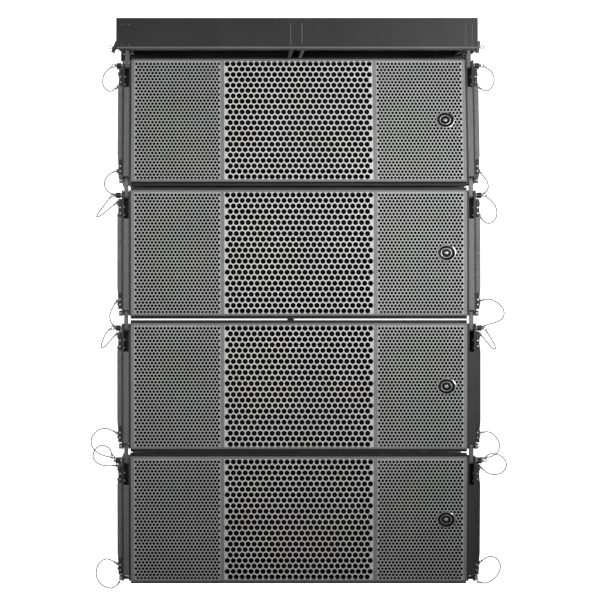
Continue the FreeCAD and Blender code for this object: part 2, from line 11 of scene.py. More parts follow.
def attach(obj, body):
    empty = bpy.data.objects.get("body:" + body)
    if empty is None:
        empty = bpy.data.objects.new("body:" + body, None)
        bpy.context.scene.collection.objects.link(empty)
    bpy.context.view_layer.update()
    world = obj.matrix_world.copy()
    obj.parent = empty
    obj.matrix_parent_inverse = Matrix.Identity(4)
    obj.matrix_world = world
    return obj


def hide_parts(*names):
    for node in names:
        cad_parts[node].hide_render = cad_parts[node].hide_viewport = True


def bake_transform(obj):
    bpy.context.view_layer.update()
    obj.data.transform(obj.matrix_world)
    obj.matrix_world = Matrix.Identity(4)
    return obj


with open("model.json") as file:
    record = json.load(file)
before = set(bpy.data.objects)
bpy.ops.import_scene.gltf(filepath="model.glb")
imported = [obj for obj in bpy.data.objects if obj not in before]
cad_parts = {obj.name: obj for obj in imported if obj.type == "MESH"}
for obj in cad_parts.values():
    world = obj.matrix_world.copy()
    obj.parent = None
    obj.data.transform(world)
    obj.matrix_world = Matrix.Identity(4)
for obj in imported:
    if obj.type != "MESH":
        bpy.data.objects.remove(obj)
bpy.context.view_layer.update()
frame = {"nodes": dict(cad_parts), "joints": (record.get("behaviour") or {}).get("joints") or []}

MM = 0.001
ELEMENTS = (1, 2, 3, 4)
SIDES = {"left": -1, "right": 1}
ANGLES = {1: -9.0, 2: -1.0, 3: 0.0, 4: 3.0}  # degrees from upright
HEIGHT = 250.0  # the sizes below are in millimetres, in an element's own frame
HALF = 332.5
HINGE = Vector((0.0, 16.0, 19.0))  # above an element
BAR_HINGE = Vector((0.0, 16.0, 27.8))  # above the first one
MIDDLE = -HEIGHT / 2
BAR_FRONT = -190.0
BAR_ENDS = (-363.0, 358.7)


# ---------------------------------------------------------------- places

def place(number):
    """The matrix from an element's own frame, in metres, to the row frame."""
    joint = next(j for j in frame["joints"] if j["name"] == f"splay_{number}")
    turn = Matrix.Rotation(math.radians(ANGLES[number]), 4, "X")
    hinge = BAR_HINGE if number == 1 else HINGE
    return Matrix.Translation(joint["pos_m"]) @ turn @ Matrix.Translation(hinge * -MM)


PLACES = {number: place(number) for number in ELEMENTS}


# ---------------------------------------------------------------- materials

class Tree:
    """A material's node tree under construction."""

    def __init__(self, name):
        self.material = bpy.data.materials.new(name)
        self.material.use_nodes = True
        self.nodes = self.material.node_tree.nodes
        self.links = self.material.node_tree.links
        self.shader = self.nodes["Principled BSDF"]
        self.where = self.nodes.new("ShaderNodeTexCoord").outputs["Object"]

    def link(self, source, target):
        self.links.new(source, target)

    def noise(self, scale, detail=3.0, rough=0.55, stretch=None):
        node = self.nodes.new("ShaderNodeTexNoise")
        node.inputs["Scale"].default_value = scale
        node.inputs["Detail"].default_value = detail
        node.inputs["Roughness"].default_value = rough
        self.link(self.stretched(stretch), node.inputs["Vector"])
        return node.outputs["Fac"]

    def cells(self, scale, feature="F1"):
        node = self.nodes.new("ShaderNodeTexVoronoi")
        node.feature = feature
        node.inputs["Scale"].default_value = scale
        self.link(self.where, node.inputs["Vector"])
        return node.outputs["Distance"]

    def stretched(self, scale):
        if scale is None:
            return self.where
        node = self.nodes.new("ShaderNodeMapping")
        node.inputs["Scale"].default_value = scale
        self.link(self.where, node.inputs["Vector"])
        return node.outputs["Vector"]

    def ranged(self, value, low, high, start=0.0, end=1.0):
        node = self.nodes.new("ShaderNodeMapRange")
        for name, number in (("From Min", start), ("From Max", end), ("To Min", low), ("To Max", high)):
            node.inputs[name].default_value = number
        self.link(value, node.inputs["Value"])
        return node.outputs["Result"]

    def math(self, operation, first, second):
        node = self.nodes.new("ShaderNodeMath")
        node.operation = operation
        for socket, value in zip(node.inputs, (first, second)):
            if isinstance(value, float):
                socket.default_value = value
            else:
                self.link(value, socket)
        return node.outputs["Value"]

    def mix(self, factor, first, second):
        node = self.nodes.new("ShaderNodeMix")
        node.data_type = "RGBA"
        for name, value in (("Factor", factor), ("A", first), ("B", second)):
            named = [socket for socket in node.inputs if socket.name == name]
            socket = next(s for s in named if name == "Factor" or s.type == "RGBA")
            if isinstance(value, (float, tuple)):
                socket.default_value = value
            else:
                self.link(value, socket)
        return next(s for s in node.outputs if s.type == "RGBA")

    def bump(self, height, depth, normal=None):
        node = self.nodes.new("ShaderNodeBump")
        node.inputs["Distance"].default_value = depth
        self.link(height, node.inputs["Height"])
        if normal is not None:
            self.link(normal, node.inputs["Normal"])
        self.link(node.outputs["Normal"], self.shader.inputs["Normal"])
        return node.outputs["Normal"]

    def edges(self, radius):
        """A mask of the edges that hands and flight cases rub."""
        bevel = self.nodes.new("ShaderNodeBevel")
        bevel.samples = 4
        bevel.inputs["Radius"].default_value = radius
        geometry = self.nodes.new("ShaderNodeNewGeometry")
        dot = self.nodes.new("ShaderNodeVectorMath")
        dot.operation = "DOT_PRODUCT"
        self.link(bevel.outputs["Normal"], dot.inputs[0])
        self.link(geometry.outputs["Normal"], dot.inputs[1])
        return self.ranged(dot.outputs["Value"], 1.0, 0.0, 0.80, 0.99)


SPECKLE = 1.9  # how much paler the tops of a textured coat's grains are
WORN_EDGE = 0.0006  # metres; how far from an edge a coat is rubbed
BARE_STEEL = (0.32, 0.02)  # tone and warmth where it is rubbed through


def grey(value, warmth=0.0):
    return (value * (1 + warmth), value, value * (1 - warmth), 1.0)


def coating(name, tone, vary, rough, grain, depth, metallic=0.0, wear=0.0, lumps=None, specular=0.5):
    """Paint, powder coat or moulded plastic: mottled tone, orange-peel or lumpy grain, and rubbed edges."""
    tree = Tree(name)
    cloud = tree.noise(9.0, 4.0)
    colour = tree.mix(tree.ranged(cloud, 0.0, 1.0, 0.3, 0.7), grey(tone * (1 - vary)),
                      grey(tone * (1 + vary)))
    fine = tree.noise(grain, 3.0, 0.6)
    if lumps:
        speck = tree.ranged(tree.noise(lumps[0] * 0.6, 2.0), 0.0, 1.0, 0.38, 0.62)
        colour = tree.mix(speck, colour, grey(tone * SPECKLE))
    if wear:
        rubbed = tree.ranged(tree.noise(160.0), 0.0, wear, 0.35, 0.7)
        mask = tree.math("MULTIPLY", tree.edges(WORN_EDGE), rubbed)
        colour = tree.mix(mask, colour, grey(*BARE_STEEL))
    tree.link(colour, tree.shader.inputs["Base Color"])
    patches = tree.ranged(tree.noise(26.0, 5.0, 0.7), -0.06, 0.06, 0.35, 0.65)
    gloss = tree.math("ADD", patches, tree.ranged(fine, rough - 0.07, rough + 0.09, 0.3, 0.7))
    tree.link(gloss, tree.shader.inputs["Roughness"])
    tree.shader.inputs["Metallic"].default_value = metallic
    tree.shader.inputs["Specular IOR Level"].default_value = specular
    normal = tree.bump(fine, depth)
    if lumps:
        scale, height = lumps
        tree.bump(tree.cells(scale, "SMOOTH_F1"), height, normal)
    return tree.material


SCRATCHES = (40.0, 900.0, 900.0)  # long in x and fine in y and z


def bare_metal(name, tone, rough, warmth=0.0):
    """Plated or drawn metal with fine scratches along one way and a few smudges."""
    tree = Tree(name)
    scratch = tree.noise(1.0, 4.0, 0.7, SCRATCHES)
    smudge = tree.noise(55.0, 3.0)
    dulled = tree.ranged(smudge, 0.0, 1.0, 0.35, 0.75)
    tree.link(tree.mix(dulled, grey(tone, warmth), grey(tone * 0.72, warmth)),
              tree.shader.inputs["Base Color"])
    tree.shader.inputs["Metallic"].default_value = 1.0
    tree.link(tree.ranged(smudge, rough * 0.8, rough * 1.7, 0.35, 0.75), tree.shader.inputs["Roughness"])
    tree.bump(scratch, 0.00003)
    return tree.material


def foam_material():
    """Open-cell foam behind the grille."""
    tree = Tree("black_foam")
    pores = tree.cells(900.0)
    tree.link(tree.mix(tree.ranged(pores, 0.0, 1.0, 0.1, 0.7), grey(0.0006), grey(0.0022)),
              tree.shader.inputs["Base Color"])
    tree.shader.inputs["Roughness"].default_value = 0.95
    tree.shader.inputs["Specular IOR Level"].default_value = 0.02
    tree.bump(pores, 0.0006)
    return tree.material


def paper_material():
    """Pulp cone paper with pressed fibres."""
    tree = Tree("cone_pulp")
    fibre = tree.noise(1.0, 6.0, 0.7, (420.0, 420.0, 1900.0))
    tree.link(tree.mix(tree.ranged(fibre, 0.0, 1.0, 0.3, 0.7), grey(0.012), grey(0.028, 0.04)),
              tree.shader.inputs["Base Color"])
    tree.link(tree.ranged(fibre, 0.6, 0.85), tree.shader.inputs["Roughness"])
    tree.bump(fibre, 0.0002)
    return tree.material


MATERIALS = {
    "bar_steel": coating("bar_powder_coat", 0.010, 0.30, 0.46, 1500.0, 0.00005, wear=0.3, specular=0.30),
    "grille_steel": coating("grille_powder_coat", 0.15, 0.07, 0.48, 1900.0, 0.00004, specular=0.3),
    # the parts behind the fly bar's front are painted darker than its coat, a painted shade
    "bar_shaded_inner": coating("bar_inner_painted_shade", 0.005, 0.20, 0.55, 1500.0, 0.00005, wear=0.3, specular=0.2),
    # the rolled edge's coat is painted ten times paler than the bar's, a painted highlight
    "bar_edge": coating("bar_edge_painted_highlight", 0.10, 0.15, 0.38, 1500.0, 0.00005, wear=0.4),
    # near black for the top flange's set-back edge, a painted shadow
    "bar_painted_shadow": coating("bar_painted_shadow", 0.002, 0.10, 0.7, 1500.0, 0.00005, specular=0.05),
    "weld": coating("painted_weld", 0.05, 0.25, 0.40, 420.0, 0.00030, wear=0.3),
    # the fine zone's webs are painted paler than the plain grille sheet, a painted highlight
    "fine_web_painted_highlight": coating("grille_fine_web_painted_highlight", 0.25, 0.07, 0.46, 1900.0, 0.00004),
    # near black for the grille's hole walls, returns and lower bend, a painted shade
    "painted_shade_wall": coating("grille_painted_shade_wall", 0.02, 0.07, 0.55, 1900.0, 0.00004, specular=0.2),
    # the large zone's webs are painted paler still, a painted highlight
    "web_painted_highlight": coating("grille_web_painted_highlight", 0.40, 0.07, 0.44, 1900.0, 0.00004),
    "rigging_steel": coating("rigging_textured_coat", 0.055, 0.12, 0.50, 1300.0, 0.00010, wear=0.5,
                             lumps=(900.0, 0.00016)),
    "cover_steel": coating("cover_textured_coat", 0.058, 0.12, 0.55, 1300.0, 0.00010, wear=0.4,
                           lumps=(620.0, 0.00022)),
    # a blacker copy of the textured coat for the right side of the two lower elements, a painted shade
    "painted_shade_steel": coating("painted_shade_textured_coat", 0.011, 0.15, 0.55, 1300.0, 0.00010, wear=0.2,
                           lumps=(700.0, 0.00020), specular=0.35),
    "link_steel": coating("link_powder_coat", 0.085, 0.10, 0.42, 1500.0, 0.00005, wear=0.5),
    "paint": coating("cabinet_textured_paint", 0.007, 0.15, 0.62, 1100.0, 0.00012, lumps=(430.0, 0.00035),
                     specular=0.3),
    "basket": coating("basket_cast_coat", 0.03, 0.1, 0.45, 900.0, 0.00008, metallic=0.3),
    "horn": coating("horn_moulding", 0.014, 0.08, 0.40, 1400.0, 0.00003),
    "panel": coating("panel_powder_coat", 0.022, 0.08, 0.42, 1600.0, 0.00005, wear=0.3),
    "handle": coating("black_moulding", 0.010, 0.10, 0.34, 1200.0, 0.00004),
    "enamel": coating("badge_enamel", 0.003, 0.08, 0.26, 1500.0, 0.00001, specular=0.3),
    "rubber": coating("rubber", 0.012, 0.1, 0.7, 1300.0, 0.00005),
    "chrome": bare_metal("bright_chrome", 0.78, 0.13),
    "dark_zinc": bare_metal("blackened_zinc", 0.10, 0.34),
    "zinc": bare_metal("zinc_plate", 0.55, 0.30, 0.015),
    "badge_metal": bare_metal("badge_satin_metal", 0.34, 0.30),
    "wire": coating("coated_wire", 0.018, 0.2, 0.42, 1500.0, 0.00003),
    "crimp": bare_metal("crimp_sleeve", 0.34, 0.30),
    "foam": foam_material(),
    "paper": paper_material(),
}


# ---------------------------------------------------------------- mesh helpers

def mesh_object(name, points, faces, materials, indices=None, smooth_angle=None):
    """A new object from points in metres."""
    mesh = bpy.data.meshes.new(name)
    mesh.from_pydata([tuple(p) for p in points], [], faces)
    for key in materials:
        mesh.materials.append(MATERIALS[key])
    if indices is not None:
        mesh.polygons.foreach_set("material_index", indices)
    mesh.validate()
    finish_mesh(mesh, smooth_angle)
    piece = bpy.data.objects.new(name, mesh)
    bpy.context.scene.collection.objects.link(piece)
    return piece


def finish_mesh(mesh, smooth_angle):
    """Normals outwards, and smooth shading across edges flatter than an angle."""
    work = bmesh.new()
    work.from_mesh(mesh)
    bmesh.ops.recalc_face_normals(work, faces=work.faces)
    if smooth_angle is not None:
        limit = math.radians(smooth_angle)
        for face in work.faces:
            face.smooth = True
        for edge in work.edges:
            edge.smooth = len(edge.link_faces) == 2 and edge.calc_face_angle(0.0) < limit
    work.to_mesh(mesh)
    work.free()


def lathe(profile, steps, centre, axis, stretch=(1.0, 1.0)):
    """Points and faces of a profile of (radius, height) turned about an axis; all in millimetres."""
    axis = Vector(axis).normalized()
    side = axis.orthogonal().normalized() if abs(axis.y) < 0.9 else Vector((1, 0, 0))
    other = axis.cross(side)
    points, faces = [], []
    for radius, height in profile:
        for n in range(steps):
            angle = math.tau * n / steps
            across = side * (math.cos(angle) * radius * stretch[0])
            offset = across + other * (math.sin(angle) * radius * stretch[1])
            points.append((Vector(centre) + offset + axis * height) * MM)
    for ring in range(len(profile) - 1):
        low, high = ring * steps, (ring + 1) * steps
        for n in range(steps):
            m = (n + 1) % steps
            faces.append((low + n, low + m, high + m, high + n))
    for ring, turn in ((0, -1), (len(profile) - 1, 1)):
        if profile[ring][0] > 0.01:
            faces.append(tuple(range(ring * steps, (ring + 1) * steps))[::turn])
    return points, faces


class Parts:
    """Several closed shapes collected into one mesh."""

    def __init__(self):
        self.points, self.faces, self.indices = [], [], []

    def add(self, shape, index=0):
        points, faces = shape
        base = len(self.points)
        self.points += points
        self.faces += [tuple(base + i for i in face) for face in faces]
        self.indices += [index] * len(faces)

    def turned(self, profile, steps, centre, axis, index=0, stretch=(1.0, 1.0)):
        self.add(lathe(profile, steps, centre, axis, stretch), index)

    def object(self, name, materials, smooth_angle=35.0):
        return mesh_object(name, self.points, self.faces, materials, self.indices, smooth_angle)


def copies(name, piece, node=None):
    """The piece on each element, with shared mesh data; the first object is used up."""
    for number in ELEMENTS:
        copy = bpy.data.objects.new(f"{name}_{number}", piece.data)
        bpy.context.scene.collection.objects.link(copy)
        copy.matrix_world = PLACES[number]
        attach(copy, f"element_{number}")
        if node:
            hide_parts(f"{node}_{number}")
    bpy.data.objects.remove(piece)


# ---------------------------------------------------------------- grille

HIGH, LOW = -5.05, -244.95  # the perforated sheet's flat part
BEND = 5.0
SHEET = 1.5
RETURN = 13.4
SIDE_BEND = 2.6
BADGE_X, BADGE_A, BADGE_B = 291.0, 18.5, 16.0
BADGE_LAND = 3.0  # how far the unpierced patch stays inside the badge
# the two web inks are painted highlights
PLAIN, FINE_WEB_HIGHLIGHT, LARGE_WEB_HIGHLIGHT, PAINTED_SHADE = 0, 1, 2, 3  # the sheet's materials
# the last ink is near black, a painted shade
GRILLE_INKS = ["grille_steel", "fine_web_painted_highlight", "web_painted_highlight", "painted_shade_wall"]
CELL = 12  # corners round a hole's cell
ZONES = (  # first hole's x, holes in a long row, pitch, rows, first row's z, row pitch, radius, steps
    (-322.1, 24, 7.12, 38, -10.5, 6.25, 2.78, 1),
    (-141.36, 25, 11.78, 22, -10.5, 10.905, 5.15, 2),
    (158.34, 24, 7.12, 38, -10.5, 6.25, 2.78, 1),
)


class Sheet:
    """The grille's front as points in x and z, welded where cells meet."""

    def __init__(self):
        self.points, self.index, self.faces, self.inks = [], {}, [], []
        self.ink = PLAIN

    def at(self, x, z, y=0.0):
        key = (round(x, 3), round(y, 3), round(z, 3))
        if key not in self.index:
            self.index[key] = len(self.points)
            self.points.append(key)
        return self.index[key]

    def face(self, corners):
        face = []
        for corner in corners:
            if not face or corner != face[-1]:
                face.append(corner)
        if face[0] == face[-1]:
            face.pop()
        if len(set(face)) > 2:
            self.faces.append(tuple(face))
            self.inks.append(self.ink)

    def line(self, fixed, value, order):
        """The front's points with one coordinate the same, ordered by another."""
        found = [(p[order], i) for i, p in enumerate(self.points)
                 if abs(p[fixed] - value) < 0.002 and p[1] == 0.0]
        return [i for _, i in sorted(found)]

    def column(self, x):
        """The points on an upright line, from the bottom."""
        return self.line(0, x, 2)

    def row(self, z):
        """The points on a level line, from the left."""
        return self.line(2, z, 0)


def cell_heights(pitch, rise):
    """Heights of a cell's side corner and of its tip above the hole's middle."""
    side = (rise ** 2 - pitch ** 2 / 4) / (2 * rise)
    return side, rise - side


def cell_edge(x, z, pitch, rise, top, foot):
    """Twelve points round a hole's cell, from the right, anticlockwise."""
    h, t = cell_heights(pitch, rise)
    half = pitch / 2
    upper = [(half, h), (half / 2, (h + t) / 2), (0, t), (-half / 2, (h + t) / 2), (-half, h)]
    lower = [(-a, -b) for a, b in upper]
    if top:
        upper = [(a, HIGH - z) for a, _ in upper]
    if foot:
        lower = [(a, LOW - z) for a, _ in lower]
    return [(x + a, z + b) for a, b in [(half, 0)] + upper + [(-half, 0)] + lower]


def in_badge(x, z):
    across = (x - BADGE_X) / (BADGE_A - BADGE_LAND)
    return across ** 2 + ((z - MIDDLE) / (BADGE_B - BADGE_LAND)) ** 2 < 1


def perforate(sheet, first, count, pitch, rows, z0, rise, radius, per):
    """One zone of staggered round holes; returns the zone's left and right."""
    h, t = cell_heights(pitch, rise)
    left, right = first - pitch / 2, first + (count - 0.5) * pitch
    steps = CELL * per
    circle = [(radius * math.cos(math.tau * k / steps), radius * math.sin(math.tau * k / steps))
              for k in range(steps)]
    for row in range(rows):
        z = z0 - row * rise
        short = row % 2
        top, foot = row == 0, row == rows - 1
        for column in range(count - short):
            x = first + (column + short / 2) * pitch
            edge = [sheet.at(*p) for p in cell_edge(x, z, pitch, rise, top, foot)]
            if in_badge(x, z):
                sheet.face(edge)
                continue
            hole = [sheet.at(x + a, z + b) for a, b in circle]
            for k in range(CELL):
                inner = [hole[(per * (k + 1) - i) % steps] for i in range(per + 1)]
                sheet.face([edge[k], edge[(k + 1) % CELL]] + inner)
        if short:
            low = [(pitch / 2, -h), (pitch / 4, -rise / 2), (0, -t)]
            if foot:
                low = [(pitch / 2, LOW - z), (0, LOW - z)]
            gap = low + [(0, t), (pitch / 4, rise / 2), (pitch / 2, h), (pitch / 2, 0)]
            for edge_x, way in ((right, -1), (left, 1)):
                sheet.face([sheet.at(edge_x + way * a, z + b) for a, b in gap][::-way])
    return left, right


def grille_mesh():
    """The folded tray: perforated front, bends, returns and sides, as thick sheet."""
    sheet = Sheet()
    borders = [-HALF]
    for zone in ZONES:
        # the webs between the holes get a paler ink, a painted highlight
        sheet.ink = LARGE_WEB_HIGHLIGHT if zone is ZONES[1] else FINE_WEB_HIGHLIGHT
        borders += perforate(sheet, *zone)
    sheet.ink = PLAIN
    borders.append(HALF)
    for x in (-HALF, HALF):
        for z in (LOW, HIGH):
            sheet.at(x, z)
    for left, right in zip(borders[::2], borders[1::2]):
        sheet.face(sheet.column(left) + sheet.column(right)[::-1])
    turns = [math.pi / 2 * n / 6 for n in range(7)]
    bend = [(BEND - BEND * math.cos(a), BEND * math.sin(a)) for a in turns]
    outline = {}
    for flat, end, way in ((HIGH, 0.0, 1), (LOW, -HEIGHT, -1)):
        line = sheet.row(flat)
        for y, rise in bend + [(RETURN, BEND)]:
            # the returns and the far part of the lower bend get the near-black ink, a painted shade
            lit = BEND if way > 0 else BEND * 0.6
            sheet.ink = PAINTED_SHADE if y > lit else PLAIN
            z = end - way * (BEND - rise)
            after = [sheet.at(-HALF, z, y), sheet.at(HALF, z, y)]
            sheet.face(line + after[::-1])
            line = after
            for side, i in zip((-1, 1), after):
                outline.setdefault((side, way), []).append(i)
    sheet.ink = PLAIN
    for side in (-1, 1):
        corners = [sheet.at(side * HALF, z) for z in (HIGH, LOW)]
        sheet.face([corners[0], corners[1]] + outline[(side, -1)] + outline[(side, 1)][::-1])
    points = [Vector(p) * MM for p in sheet.points]
    piece = mesh_object("grille_front", points, sheet.faces, GRILLE_INKS, sheet.inks)
    fold_sides(piece)
    thicken(piece)
    return piece


FOLD = 1.2  # radians; edges sharper than this are folds
SMOOTH = math.radians(32)


def fold_sides(piece):
    """Rounds the folds between the front and the sides, and faces the front forwards."""
    work = bmesh.new()
    work.from_mesh(piece.data)
    rim = [e for e in work.edges if len(e.link_faces) == 2 and e.calc_face_angle(0.0) > FOLD]
    bmesh.ops.bevel(work, geom=rim, offset=SIDE_BEND * MM, segments=4, profile=0.5, affect="EDGES")
    bmesh.ops.recalc_face_normals(work, faces=work.faces)
    front = max(work.faces, key=lambda f: f.calc_area() if abs(f.normal.y) > 0.9 else 0.0)
    if front.normal.y > 0:
        bmesh.ops.reverse_faces(work, faces=work.faces)
    work.to_mesh(piece.data)
    work.free()


def thicken(piece):
    """Gives the sheet its thickness; the walls of the holes are painted near black, a painted shade."""
    thick = piece.modifiers.new("sheet", "SOLIDIFY")
    thick.thickness = SHEET * MM
    thick.offset = -1.0
    # the hole walls and the sheet's rims get the near-black ink, a painted shade
    thick.material_offset_rim = PAINTED_SHADE
    solid = bpy.data.meshes.new_from_object(piece.evaluated_get(bpy.context.evaluated_depsgraph_get()))
    piece.modifiers.clear()
    piece.data = solid
    work = bmesh.new()
    work.from_mesh(solid)
    for face in work.faces:
        face.smooth = True
    for edge in work.edges:
        edge.smooth = len(edge.link_faces) == 2 and edge.calc_face_angle(0.0) < SMOOTH
    work.to_mesh(solid)
    work.free()


FOAM_SIDE, FOAM_END = 5.5, 8.5  # from the grille's edges
FOAM_FACES = ((2.3, 0.25), (7.8, 0.0))  # y and unevenness


def foam_mesh():
    """The foam sheet behind the front, a little uneven."""
    across, down = 90, 34
    half, top, low = HALF - FOAM_SIDE, -FOAM_END, FOAM_END - HEIGHT
    points, faces = [], []
    for y, rough in FOAM_FACES:
        for j in range(down + 1):
            for i in range(across + 1):
                x, z = -half + 2 * half * i / across, low + (top - low) * j / down
                wave = rough * (math.sin(i * 1.7 + j * 0.9) + math.sin(j * 2.3 - i * 0.6))
                points.append(Vector((x, y + abs(wave), z)) * MM)
    size = (across + 1) * (down + 1)
    for j in range(down):
        for i in range(across):
            a = j * (across + 1) + i
            b = a + across + 1
            faces += [(a, a + 1, b + 1, b), (size + a, size + b, size + b + 1, size + a + 1)]
    rim = [j * (across + 1) for j in range(down)] + [down * (across + 1) + i for i in range(across)]
    rim += [(down + 1 - j) * (across + 1) - 1 for j in range(down)] + [across - i for i in range(across)]
    faces += [(a, b, size + b, size + a) for a, b in zip(rim, rim[1:] + rim[:1])]
    return mesh_object("foam", points, faces, ["foam"], smooth_angle=40)


def badge_mesh():
    """A plain oval emblem: raised rim, a bead and a small dome."""
    parts = Parts()
    profile = [(0.0, 1.75), (0.09, 1.7), (0.16, 1.5), (0.20, 1.0), (0.50, 0.8), (0.52, 1.15),
               (0.55, 1.25), (0.58, 1.15), (0.60, 0.8), (0.86, 1.0), (0.88, 1.9), (0.91, 2.35), (0.95, 2.4),
               (0.985, 2.2), (1.0, 1.8), (1.0, 0.0)]
    steps = 72
    points, faces = lathe([(max(r, 0.0005) * BADGE_A, h) for r, h in profile], steps,
                          (BADGE_X, 0.0, MIDDLE), (0, -1, 0), (1.0, BADGE_B / BADGE_A))
    parts.add((points, faces))
    metal = {0, 1, 2, 5, 6, 7, 11, 12, 13}  # the rings of the dome, the bead and the rim
    parts.indices = [int(i // steps in metal) for i in range(len(faces))]
    return parts.object("badge", ["enamel", "badge_metal"], 28.0)


copies("grille_front", grille_mesh(), "grille")
copies("grille_foam", foam_mesh(), "grille")
copies("emblem", badge_mesh(), "badge")


# ---------------------------------------------------------------- carried-over nodes

def paint_node(name, keys, choose=None, number=None):
    """Materials on a CAD node; choose says which one each face gets, from its middle in millimetres."""
    node = frame["nodes"][name]
    node.data.materials.clear()
    for key in keys:
        node.data.materials.append(MATERIALS[key])
    back = PLACES[number].inverted() if number else Matrix.Identity(4)
    for face in node.data.polygons:
        face.material_index = choose(back @ face.center / MM) if choose else 0


def near(point, y, z, radius):
    return math.hypot(point.y - y, point.z - z) < radius


CUT_EDGE = 4.6  # y in front of which only the front plates' cut edges lie
PLATES = ((333.0, 336.4), (346.6, 350.0))  # x of the front plates
PLATE_OUT = 350.05
FRONT_BOLT = (16.0, -244.0)  # y and z
EARS = (8.15, 12.25)  # x just inside and outside the rear bracket's ears
EARS_Y = 434.0  # behind the bracket's base plate
STUDS = ((31.0, -50.0), (31.0, -23.0), (34.0, -220.0))  # y and z
TOP_STUD = (40.0, -9.5)
STUD_R = 3.3
COVER_FACE = 358.75
POCKET_END = 346.6
PIN_HEAD = (353.1, 362.1)
BAR_PIN_STEM = 350.15
REAR_BOLT = (440.0, 48.0)  # from the hinge above an element's lower end
SPLAY_2 = 8.0  # degrees at rest
FOOT_ANGLES = (6.3, 9.5)
FLANGE_EDGE = (19.9, 21.9)  # z of the top flange's set-back edge


def bolts_of(p):
    """Bolt heads and shanks of the rigging: 1, the front plates' cut edges: 2, else 0."""
    x = abs(p.x)
    if p.y < CUT_EDGE and any(low < x < high for low, high in PLATES):
        return 2
    front = near(p, *FRONT_BOLT, 6.2) and x > PLATE_OUT
    in_rear = p.y > EARS_Y and any(near(p, *bolt) for bolt in REAR_BOLTS)
    return 1 if front or (in_rear and not EARS[0] <= x <= EARS[1]) else 0


def studs_of(p):
    """Studs and pocket screws of the side covers: 1, else 0."""
    x = abs(p.x)
    stud = any(near(p, *place, STUD_R) for place in STUDS) and x > COVER_FACE
    return 1 if stud or near(p, *TOP_STUD, STUD_R) or x < POCKET_END else 0


def pin_of(p):
    """A release pin's black head: 1, else 0."""
    return 1 if PIN_HEAD[0] < abs(p.x) < PIN_HEAD[1] else 0


def bar_pin_of(p):
    """A fly bar pin: the shank 0, the handle and stem 1."""
    return 1 if abs(p.x) > BAR_PIN_STEM else 0


def rear_bolts():
    """Places and radii of the bolts in the rear bracket, in an element's own frame."""
    reach = math.hypot(*REAR_BOLT)
    rest = math.degrees(math.atan2(REAR_BOLT[1], REAR_BOLT[0])) - SPLAY_2
    feet = []
    for foot in FOOT_ANGLES:
        angle = math.radians(rest - foot)
        feet.append((HINGE.y + reach * math.cos(angle), HINGE.z + reach * math.sin(angle), 5.6))
    return [(FRONT_BOLT[0] + REAR_BOLT[0], FRONT_BOLT[1] + REAR_BOLT[1], 7.4)] + feet


REAR_BOLTS = rear_bolts()


def painted_shadow_of(p):
    """A painted shadow on the set-back edge of the fly bar's top flange: 1, painted shade on what lies
    behind the front: 2, else 0.
    """
    if p.y > BAR_FRONT + 6.0:
        return 2
    return 1 if FLANGE_EDGE[0] < p.z < FLANGE_EDGE[1] and p.y < BAR_FRONT + 1.2 else 0


# the flange's set-back edge gets a painted shadow, and what lies behind the front a painted shade
paint_node("fly_frame", ["bar_steel", "bar_painted_shadow", "bar_shaded_inner"], painted_shadow_of)
paint_node("fly_rear_bolt", ["zinc"])


def shaded_right_lower(choose, number):
    """The same choice, with the right side of the two lower elements painted in a blacker coat, a painted
    shade: 2.
    """
    def chosen(p):
        index = choose(p)
        return 2 if index == 0 and number > 2 and p.x > 300 else index
    return chosen


for side in SIDES:
    paint_node(f"fly_pin_{side}", ["chrome", "handle"], bar_pin_of)
for n in ELEMENTS:
    paint_node(f"cabinet_{n}", ["paint"])
    paint_node(f"woofer_frames_{n}", ["basket"])
    paint_node(f"woofer_cones_{n}", ["paper"])
    paint_node(f"hf_unit_{n}", ["horn"])
    paint_node(f"input_panel_{n}", ["panel"])
    # the right side of the two lower elements gets the blacker coat, a painted shade
    paint_node(f"rigging_{n}", ["rigging_steel", "zinc", "painted_shade_steel"], shaded_right_lower(bolts_of, n), n)
    paint_node(f"covers_{n}", ["cover_steel", "chrome", "painted_shade_steel"], shaded_right_lower(studs_of, n), n)
    paint_node(f"links_{n}", ["link_steel"])
    for side in SIDES:
        paint_node(f"pin_{side}_{n}", ["chrome", "handle"], pin_of, n)


# ---------------------------------------------------------------- fly bar's face

def run(profile, start, end, wobble=0.0):
    """A bar of (y, z) profile between two x, in short lengths that can be uneven; millimetres."""
    count = max(2, int(abs(end - start) / 4)) if wobble else 2
    points, faces = [], []
    size = len(profile)
    for i in range(count + 1):
        x = start + (end - start) * i / count
        swell = 1 + wobble * math.sin(i * 2.1) * math.cos(i * 0.7)
        points += [Vector((x, y * swell, z * swell)) for y, z in profile]
    for i in range(count):
        for k in range(size):
            m = (k + 1) % size
            faces.append((i * size + k, i * size + m, (i + 1) * size + m, (i + 1) * size + k))
    faces += [tuple(range(size))[::-1], tuple(range(count * size, (count + 1) * size))]
    return points, faces


def arc_profile(radius, steps, flat):
    """A half-round (y, z) profile that bulges to the front of a face at y = 0 and sits a little in it."""
    turns = [math.pi * n / steps for n in range(steps + 1)]
    bulge = [(-radius * math.sin(a) * flat, radius * math.cos(a)) for a in turns]
    return [(0.3, radius)] + bulge + [(0.3, -radius)]


EDGE_Z = -37.4  # the rolled edge
TAB_WELDS = (-14.9, 7.7)
TAB_Z, TAB_HALF = -10.0, 21.0
END_WELDS = (334.5, 347.5)
END_Z, END_HALF = -11.0, 19.0
PLUG_X = (-351.5, -338.0, 334.5, 347.5)
PLUG_Z = (9.2, -32.0)


